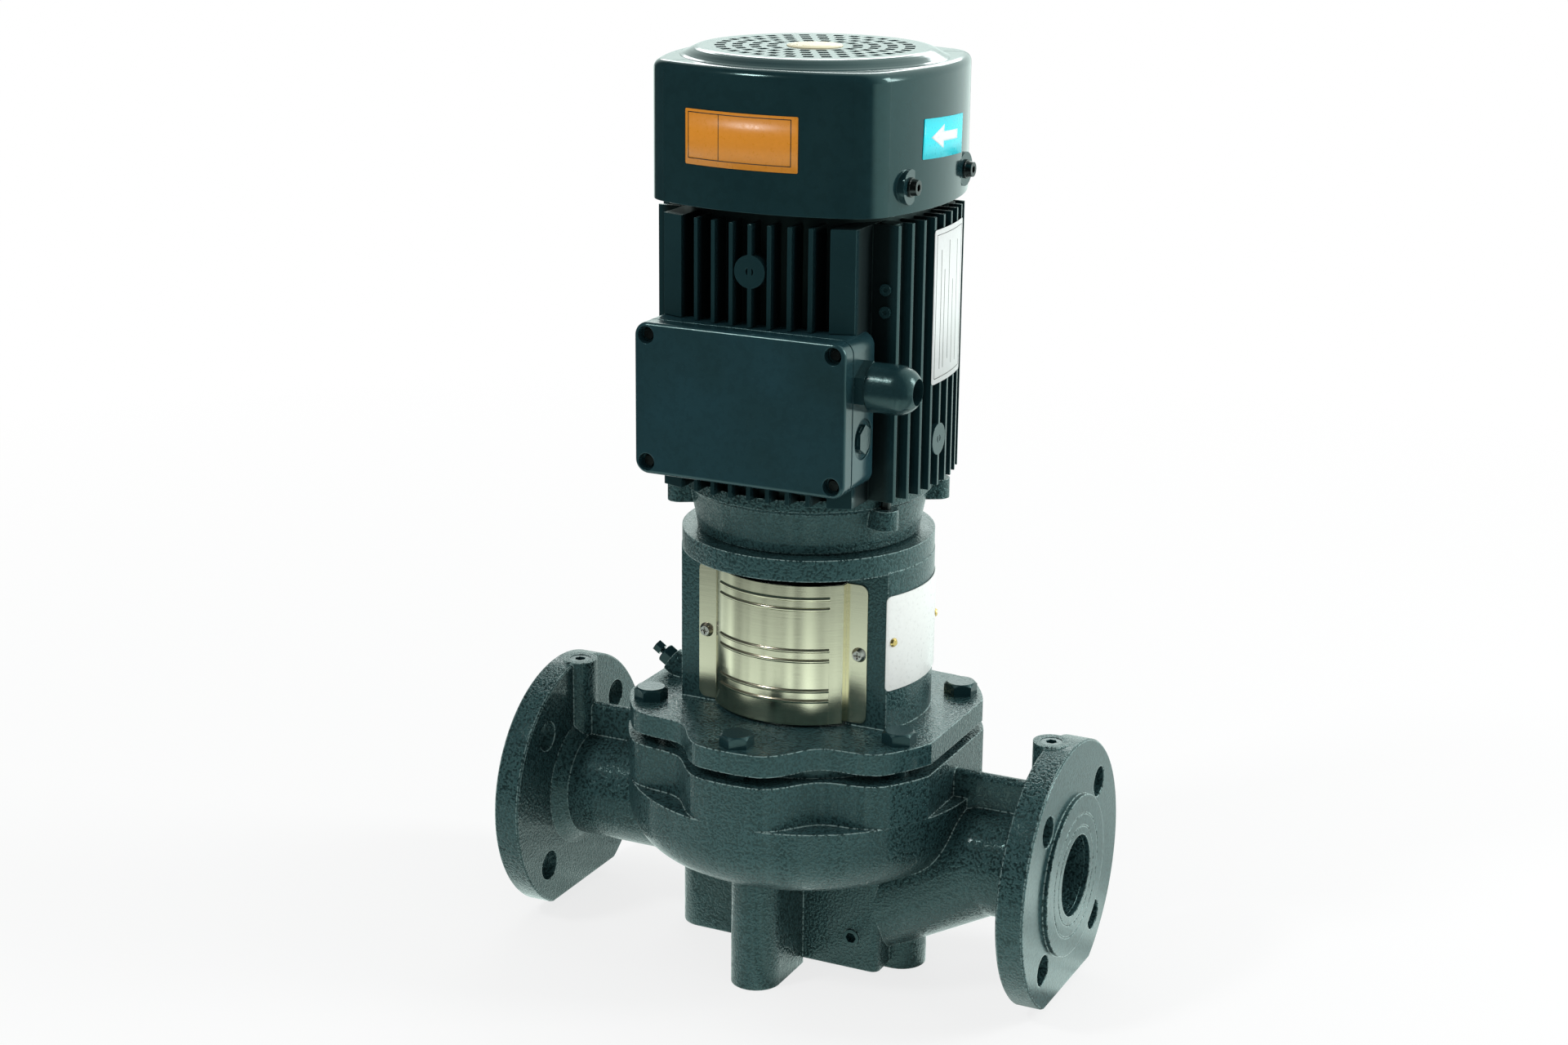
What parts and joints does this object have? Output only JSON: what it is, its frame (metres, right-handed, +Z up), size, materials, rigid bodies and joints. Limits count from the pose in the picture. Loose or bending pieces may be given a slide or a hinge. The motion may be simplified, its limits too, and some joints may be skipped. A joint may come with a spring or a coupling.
{
  "type": "circulation pump",
  "caption": "Vertical in-line circulation pump with flanged side ports, guarded coupling, finned electric motor and terminal box.",
  "frame": {"origin": "on the shaft axis at the plane of the feet", "axes": "+Z up along the shaft, +X towards the suction flange, -Y towards the terminal box"},
  "size_m": [0.36, 0.22, 0.562],
  "materials": {
    "painted_casting": "gloss",
    "gloss_cover": "gloss",
    "painted_hardware": "gloss",
    "bronze": "satin",
    "rubber_seal": "matte",
    "seal_carbon": "matte",
    "stainless_sheet": "brushed",
    "fastener_steel": "satin",
    "plate_white": "satin",
    "brass_trim": "satin",
    "ground_steel": "polished",
    "coupling_iron": "satin",
    "core_steel": "satin",
    "copper_winding": "satin",
    "fan_plastic": "matte",
    "board_plastic": "matte"
  },
  "bodies": {
    "root": {"volute_casing": "painted_casting", "wear_ring": "bronze", "casing_cover": "painted_casting", "cover_o_ring": "rubber_seal", "seal_seat": "seal_carbon", "motor_stool": "painted_casting", "casing_bolts": "painted_hardware", "gauge_plugs": "painted_hardware", "drain_plug": "painted_hardware", "vent_plug": "painted_hardware", "coupling_guard_front": "stainless_sheet", "coupling_guard_rear": "stainless_sheet", "guard_screws": "fastener_steel", "name_plate": "plate_white", "plate_rivets": "brass_trim", "motor_screws": "fastener_steel", "lower_end_shield": "painted_casting", "tie_bolts": "fastener_steel", "stator_housing": "painted_casting", "frame_screws": "fastener_steel", "stator_core": "core_steel", "stator_windings": "copper_winding", "upper_end_shield": "painted_casting", "lower_bearing_outer": "ground_steel", "upper_bearing_outer": "ground_steel", "fan_cover": "gloss_cover", "fan_cover_screws": "fastener_steel", "terminal_box_base": "gloss_cover", "terminal_box_lid": "gloss_cover", "lid_gasket": "rubber_seal", "lid_screws": "fastener_steel", "terminal_board": "board_plastic", "terminal_studs": "brass_trim", "cable_gland_body": "painted_hardware", "gland_nut": "painted_hardware", "gland_seal": "rubber_seal", "blanking_plug": "painted_hardware"},
    "rotor": {"impeller": "bronze", "impeller_nut": "fastener_steel", "impeller_key": "fastener_steel", "pump_shaft": "ground_steel", "seal_head": "seal_carbon", "seal_bellows": "rubber_seal", "coupling_half_left": "coupling_iron", "coupling_half_right": "coupling_iron", "coupling_screws": "fastener_steel", "lower_bearing_inner": "ground_steel", "upper_bearing_inner": "ground_steel", "bearing_balls": "ground_steel", "motor_shaft": "ground_steel", "rotor_core": "core_steel", "cooling_fan": "fan_plastic"},
    "vent_spindle": {"vent_screw": "painted_hardware"}
  },
  "joints": [
    {"name": "rotor_spin", "type": "hinge", "parent": "root", "child": "rotor", "pos_m": [0, 0, 0.3], "axis": [0, 0, -1], "continuous": true},
    {"name": "vent_turn", "type": "hinge", "parent": "root", "child": "vent_spindle", "pos_m": [-0.0936, 0, 0.1724], "axis": [-0.829, 0, 0.5592], "range_deg": [0, 720]}
  ]
}
